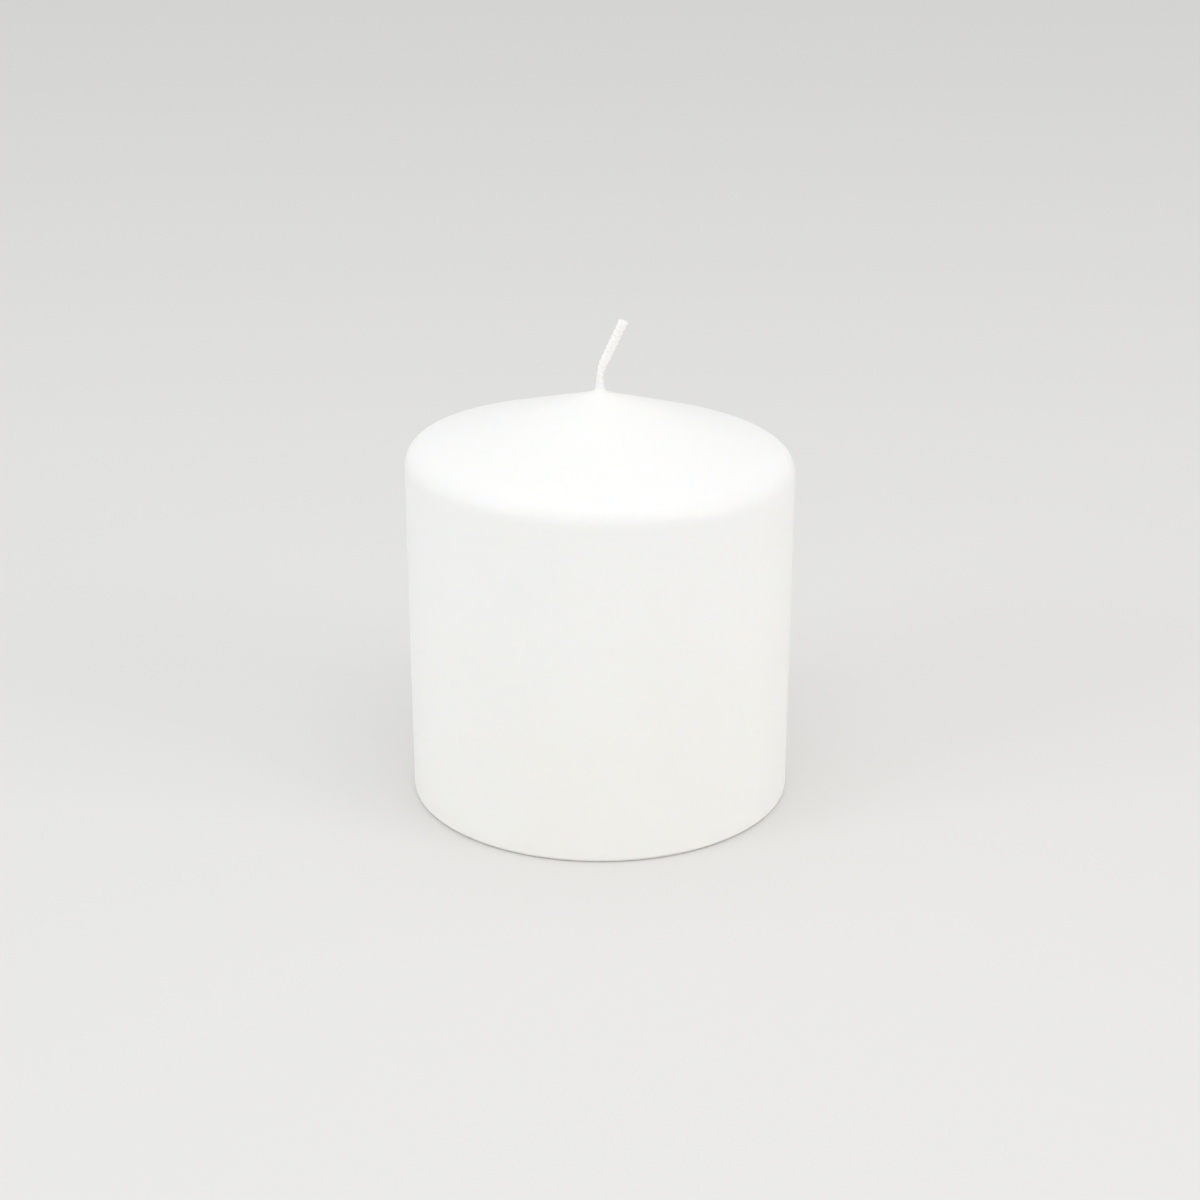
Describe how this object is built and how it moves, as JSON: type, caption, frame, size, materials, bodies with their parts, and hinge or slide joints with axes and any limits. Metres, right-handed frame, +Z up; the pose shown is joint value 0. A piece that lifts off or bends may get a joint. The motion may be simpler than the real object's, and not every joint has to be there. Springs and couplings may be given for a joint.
{
  "type": "pillar candle",
  "caption": "Plain white short pillar candle with straight sides, rounded shoulder, low coned crown and a bare cotton wick that leans to one side.",
  "frame": {"origin": "centre of the flat base, on the candle's axis", "axes": "+Z up the candle's axis from the base to the wick; the wick leans towards +X; +Y is the candle's back"},
  "size_m": [0.07, 0.07, 0.0889],
  "materials": {
    "core_wax": "matte",
    "skin_wax": "satin",
    "wick_cotton": "matte",
    "tinplate": "satin",
    "seal_wax": "satin"
  },
  "bodies": {
    "root": {"wax_core": "core_wax", "overdip_skin": "skin_wax", "wick": "wick_cotton", "wick_sustainer": "tinplate", "tab_seal": "seal_wax"}
  },
  "joints": []
}
